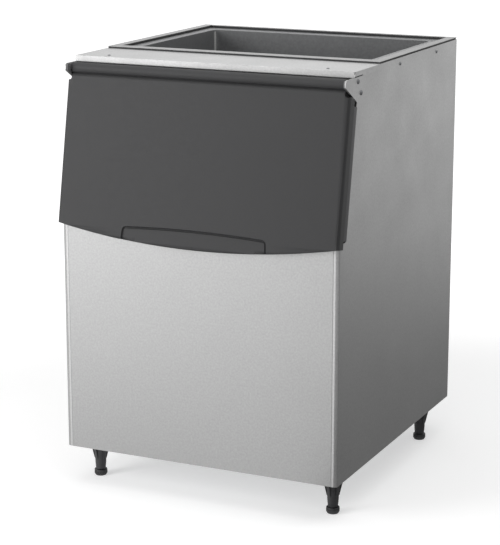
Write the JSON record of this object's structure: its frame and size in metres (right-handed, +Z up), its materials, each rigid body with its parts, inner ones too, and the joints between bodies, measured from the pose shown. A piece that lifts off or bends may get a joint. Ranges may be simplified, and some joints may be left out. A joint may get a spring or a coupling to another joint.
{
  "type": "ice storage bin",
  "caption": "Insulated floor-standing ice bin with an open top that carries an ice machine, a top-hinged sloping door with a grip recess, a drained liner and levelling legs.",
  "frame": {"origin": "bottom centre of the whole bin with the door shut, on the floor under the feet", "axes": "+Z up, -Y towards someone who opens the door, +X to their right"},
  "size_m": [0.77, 0.859, 1.124],
  "materials": {
    "stainless_sheet": "fine satin",
    "galvanised_sheet": "dull zinc coat",
    "zinc_steel": "zinc plated",
    "door_plastic": "fine grain, dark grey",
    "black_plastic": "moulded, satin",
    "liner_plastic": "smooth food grade",
    "rubber": "matt",
    "foam": "rigid foam",
    "nylon": "natural nylon"
  },
  "bodies": {
    "cabinet": {"left_side_panel": "stainless_sheet", "insulation_left": "foam", "left_hinge_bracket": "door_plastic", "left_hinge_pin": "zinc_steel", "left_base_bar": "galvanised_sheet", "left_side_screw_1": "zinc_steel", "left_side_screw_2": "zinc_steel", "left_side_screw_3": "zinc_steel", "left_side_screw_4": "zinc_steel", "right_side_panel": "stainless_sheet", "insulation_right": "foam", "right_hinge_bracket": "door_plastic", "right_hinge_pin": "zinc_steel", "right_base_bar": "galvanised_sheet", "right_side_screw_1": "zinc_steel", "right_side_screw_2": "zinc_steel", "right_side_screw_3": "zinc_steel", "right_side_screw_4": "zinc_steel", "front_left_leg": "black_plastic", "front_left_leg_bolt": "zinc_steel", "front_right_leg": "black_plastic", "front_right_leg_bolt": "zinc_steel", "rear_left_leg": "black_plastic", "rear_left_leg_bolt": "zinc_steel", "rear_right_leg": "black_plastic", "rear_right_leg_bolt": "zinc_steel", "front_panel": "stainless_sheet", "back_panel": "galvanised_sheet", "base_pan": "galvanised_sheet", "top_front_rail": "stainless_sheet", "top_seal": "rubber", "top_frame": "stainless_sheet", "bin_liner": "liner_plastic", "insulation_rear": "foam", "insulation_front": "foam", "insulation_floor": "foam", "insulation_header": "foam", "ice_baffle": "stainless_sheet", "drain_pipe": "black_plastic", "drain_locknut": "black_plastic", "drain_strainer": "stainless_sheet", "rail_screw_1": "zinc_steel", "rail_screw_2": "zinc_steel", "back_panel_screw_1": "zinc_steel", "back_panel_screw_2": "zinc_steel", "back_panel_screw_3": "zinc_steel", "back_panel_screw_4": "zinc_steel", "opening_frame": "door_plastic"},
    "door": {"door_outer_shell": "door_plastic", "door_inner_tray": "door_plastic", "door_insulation": "foam", "door_gasket": "rubber", "left_hinge_bushing": "nylon", "right_hinge_bushing": "nylon"},
    "front_left_foot": {"front_left_foot": "black_plastic"},
    "front_right_foot": {"front_right_foot": "black_plastic"},
    "rear_left_foot": {"rear_left_foot": "black_plastic"},
    "rear_right_foot": {"rear_right_foot": "black_plastic"}
  },
  "joints": [
    {"name": "door_hinge", "type": "hinge", "parent": "cabinet", "child": "door", "pos_m": [0, -0.34651, 1.092], "axis": [-1, 0, 0], "range_deg": [0, 180]},
    {"name": "front_left_foot_screw", "type": "slide", "parent": "cabinet", "child": "front_left_foot", "axis": [0, 0, -1], "range_m": [0, 0.018]},
    {"name": "front_right_foot_screw", "type": "slide", "parent": "cabinet", "child": "front_right_foot", "axis": [0, 0, -1], "range_m": [0, 0.018]},
    {"name": "rear_left_foot_screw", "type": "slide", "parent": "cabinet", "child": "rear_left_foot", "axis": [0, 0, -1], "range_m": [0, 0.018]},
    {"name": "rear_right_foot_screw", "type": "slide", "parent": "cabinet", "child": "rear_right_foot", "axis": [0, 0, -1], "range_m": [0, 0.018]}
  ]
}
